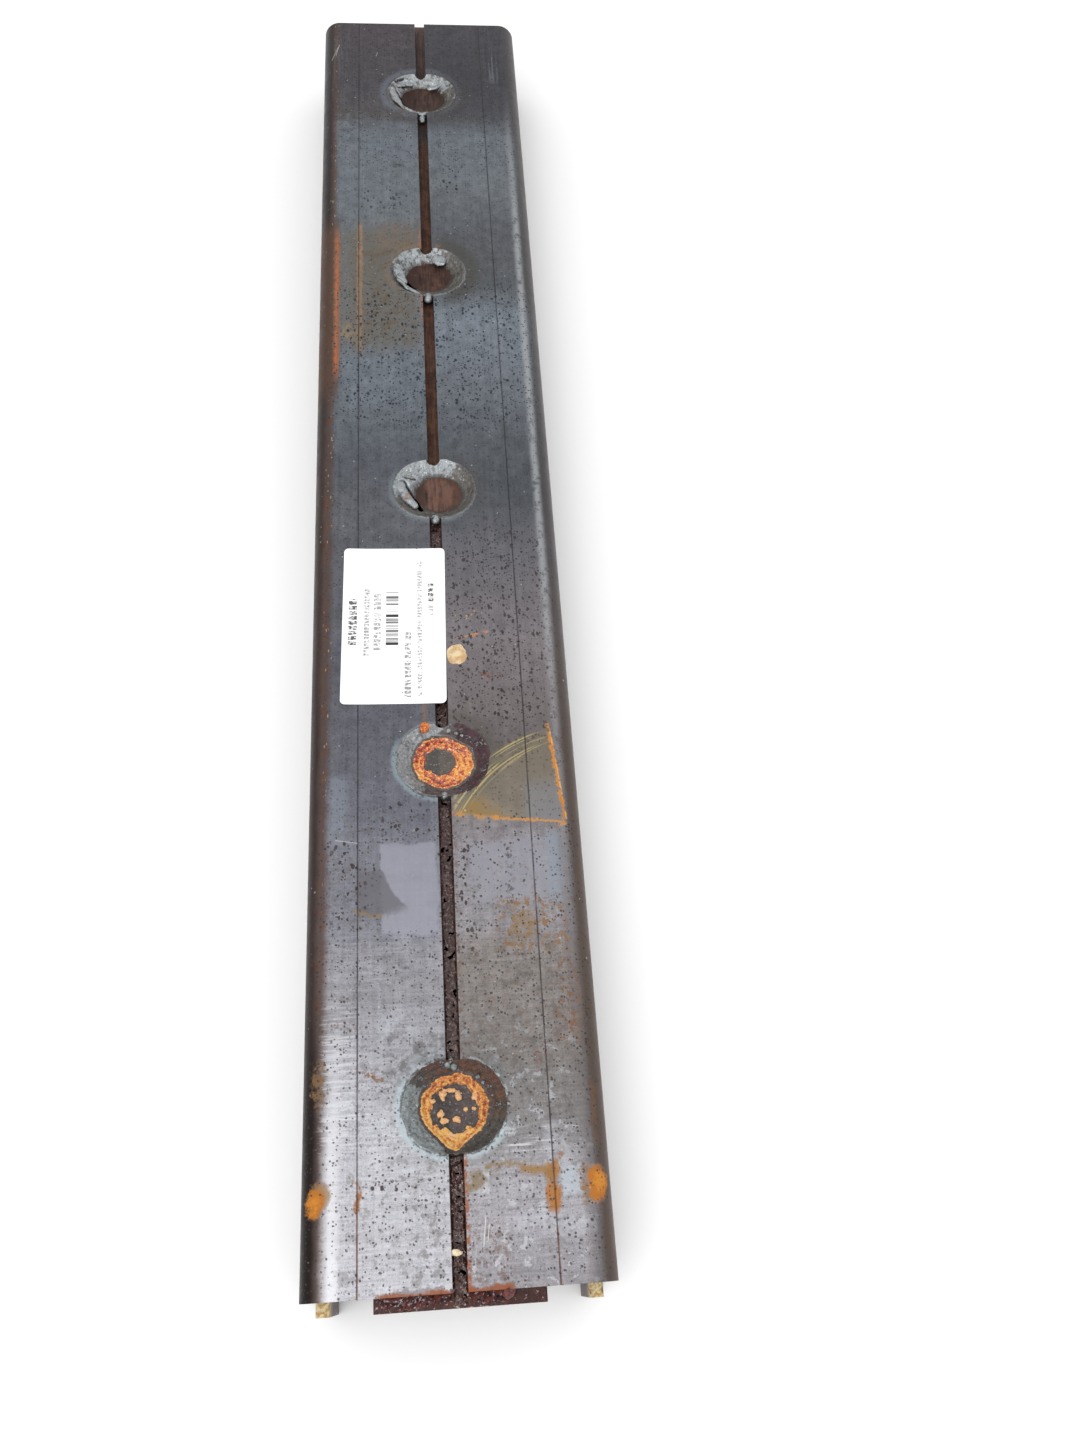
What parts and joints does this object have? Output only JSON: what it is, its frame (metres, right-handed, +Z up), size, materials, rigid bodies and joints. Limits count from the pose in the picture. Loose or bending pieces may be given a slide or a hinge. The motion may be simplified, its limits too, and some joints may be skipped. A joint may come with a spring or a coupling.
{
  "type": "slide wear shoe",
  "caption": "Split channel wear shoe of bent plate, ring-welded to a backing bar, with side bars on edge inside its legs.",
  "frame": {"origin": "middle of the length and of the width, on the plane the legs' lower edges stand on", "axes": "+Z up, out of the wear face; +Y along the shoe; +X across it, from shell_left to shell_right"},
  "size_m": [0.1446, 0.889, 0.0641],
  "materials": {
    "wear_plate": "hot-rolled, blued and burnished by sliding, with spots of rust",
    "bar_steel": "dark brown mill scale and rust",
    "weld_metal": "bare silver-grey weld bead",
    "rusted_weld": "weld bead with orange rust",
    "label_paper": null
  },
  "bodies": {
    "root": {"shell_left": "wear_plate", "shell_right": "wear_plate", "backing_bar": "bar_steel", "side_bar_left": "bar_steel", "side_bar_right": "bar_steel", "ring_weld_1": "rusted_weld", "ring_weld_2": "rusted_weld", "ring_weld_3": "weld_metal", "ring_weld_4": "weld_metal", "ring_weld_5": "weld_metal", "end_weld_near_left": "weld_metal", "end_weld_near_right": "weld_metal", "end_weld_far_left": "weld_metal", "end_weld_far_right": "weld_metal", "stitch_weld_left_1": "weld_metal", "stitch_weld_left_2": "weld_metal", "stitch_weld_left_3": "weld_metal", "stitch_weld_left_4": "weld_metal", "stitch_weld_left_5": "weld_metal", "stitch_weld_left_6": "weld_metal", "stitch_weld_right_1": "weld_metal", "stitch_weld_right_2": "weld_metal", "stitch_weld_right_3": "weld_metal", "stitch_weld_right_4": "weld_metal", "stitch_weld_right_5": "weld_metal", "stitch_weld_right_6": "weld_metal", "label": "label_paper"}
  },
  "joints": []
}
